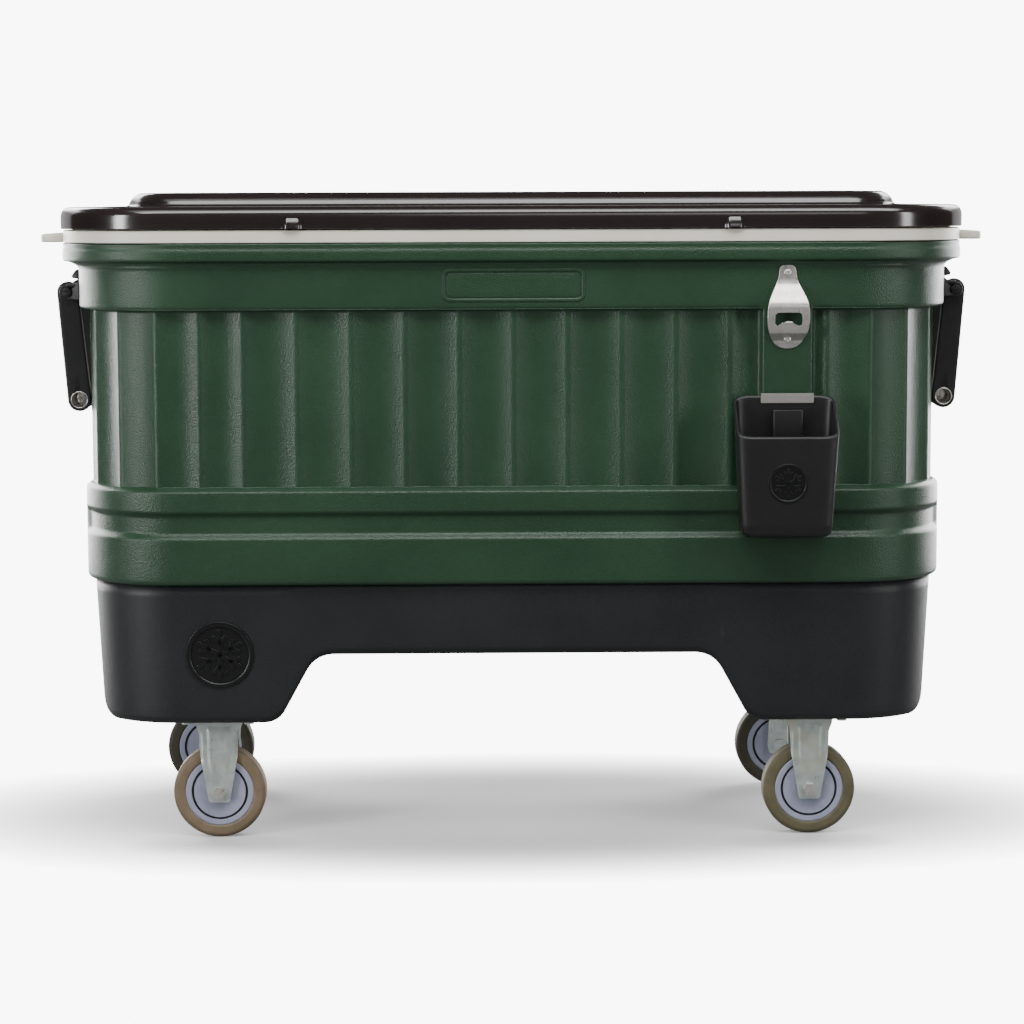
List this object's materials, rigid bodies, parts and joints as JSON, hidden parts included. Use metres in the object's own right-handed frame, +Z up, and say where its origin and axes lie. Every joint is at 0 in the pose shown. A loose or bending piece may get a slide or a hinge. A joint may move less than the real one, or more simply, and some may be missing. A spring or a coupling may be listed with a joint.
{
  "type": "wheeled cooler chest",
  "caption": "Wheeled party cooler with a fluted insulated tub, rear-hinged lid, end handles, bottle opener and catch bin on an arched base with casters.",
  "frame": {"origin": "on the floor under the middle of the whole object's bounding box; the hull's own centre plane is at Y = +0.022", "axes": "+X towards the end with the bottle opener and catch bin, -Y out of the front face, +Z up"},
  "size_m": [1.28, 0.55, 0.8695],
  "materials": {
    "green_plastic": "satin",
    "white_plastic": "satin",
    "foam": "matte",
    "black_plastic": "satin",
    "smoke_plastic": "gloss",
    "stainless": "satin",
    "zinc": "satin",
    "core_plastic": "satin",
    "wheel_rubber": "matte",
    "seal_rubber": "matte",
    "grey_plastic": "satin"
  },
  "bodies": {
    "chest": {"hull": "green_plastic", "liner": "white_plastic", "insulation": "foam", "base": "black_plastic", "base_bolts": "zinc", "hinge_leaves_lower": "stainless", "hinge_pins": "stainless", "hinge_screws": "stainless", "front_fork_left": "zinc", "front_fork_right": "zinc", "rear_plate_left": "zinc", "rear_plate_right": "zinc", "front_axles": "zinc", "caster_bolts": "zinc", "handle_bracket_left": "black_plastic", "handle_bracket_right": "black_plastic", "handle_pins_left": "black_plastic", "handle_pins_right": "black_plastic", "handle_bumper_left": "black_plastic", "handle_bumper_right": "black_plastic", "bracket_screws": "stainless", "bottle_opener": "stainless", "opener_screws": "stainless", "bin_hanger": "stainless", "hanger_screws": "stainless", "drain_sleeve": "white_plastic"},
    "lid": {"lid": "smoke_plastic", "lid_seal": "seal_rubber", "hinge_leaves_upper": "stainless"},
    "handle_left": {"handle_left": "black_plastic"},
    "handle_right": {"handle_right": "black_plastic"},
    "swivel_left": {"rear_fork_left": "zinc", "rear_axle_left": "zinc"},
    "swivel_right": {"rear_fork_right": "zinc", "rear_axle_right": "zinc"},
    "catch_bin": {"catch_bin": "black_plastic", "bin_tab": "grey_plastic"},
    "drain_plug": {"drain_plug": "black_plastic"},
    "wheel_front_left": {"tyre_front_left": "wheel_rubber", "core_front_left": "core_plastic"},
    "wheel_front_right": {"tyre_front_right": "wheel_rubber", "core_front_right": "core_plastic"},
    "wheel_rear_left": {"tyre_rear_left": "wheel_rubber", "core_rear_left": "core_plastic"},
    "wheel_rear_right": {"tyre_rear_right": "wheel_rubber", "core_rear_right": "core_plastic"}
  },
  "joints": [
    {"name": "lid_hinge", "type": "hinge", "parent": "chest", "child": "lid", "pos_m": [0, 0.269, 0.823], "axis": [-1, 0, 0], "range_deg": [0, 95]},
    {"name": "handle_left_pivot", "type": "hinge", "parent": "chest", "child": "handle_left", "pos_m": [-0.6065, 0.022, 0.735], "axis": [0, 1, 0], "range_deg": [0, 95]},
    {"name": "handle_right_pivot", "type": "hinge", "parent": "chest", "child": "handle_right", "pos_m": [0.6065, 0.022, 0.735], "axis": [0, -1, 0], "range_deg": [0, 95]},
    {"name": "swivel_left_turn", "type": "hinge", "parent": "chest", "child": "swivel_left", "pos_m": [-0.4165, 0.184, 0.157], "axis": [0, 0, 1], "continuous": true},
    {"name": "swivel_right_turn", "type": "hinge", "parent": "chest", "child": "swivel_right", "pos_m": [0.4165, 0.184, 0.157], "axis": [0, 0, 1], "continuous": true},
    {"name": "wheel_front_left_roll", "type": "hinge", "parent": "chest", "child": "wheel_front_left", "pos_m": [-0.3995, -0.138, 0.0625], "axis": [0, 1, 0], "continuous": true},
    {"name": "wheel_front_right_roll", "type": "hinge", "parent": "chest", "child": "wheel_front_right", "pos_m": [0.3995, -0.138, 0.0625], "axis": [0, 1, 0], "continuous": true},
    {"name": "wheel_rear_left_roll", "type": "hinge", "parent": "swivel_left", "child": "wheel_rear_left", "pos_m": [-0.4405, 0.184, 0.0625], "axis": [0, 1, 0], "continuous": true},
    {"name": "wheel_rear_right_roll", "type": "hinge", "parent": "swivel_right", "child": "wheel_rear_right", "pos_m": [0.3925, 0.184, 0.0625], "axis": [0, 1, 0], "continuous": true},
    {"name": "bin_lift", "type": "slide", "parent": "chest", "child": "catch_bin", "axis": [0, 0, 1], "range_m": [0, 0.065]},
    {"name": "drain_plug_turn", "type": "hinge", "parent": "chest", "child": "drain_plug", "pos_m": [-0.43, 0.25, 0.416], "axis": [0, 1, 0], "continuous": true}
  ]
}
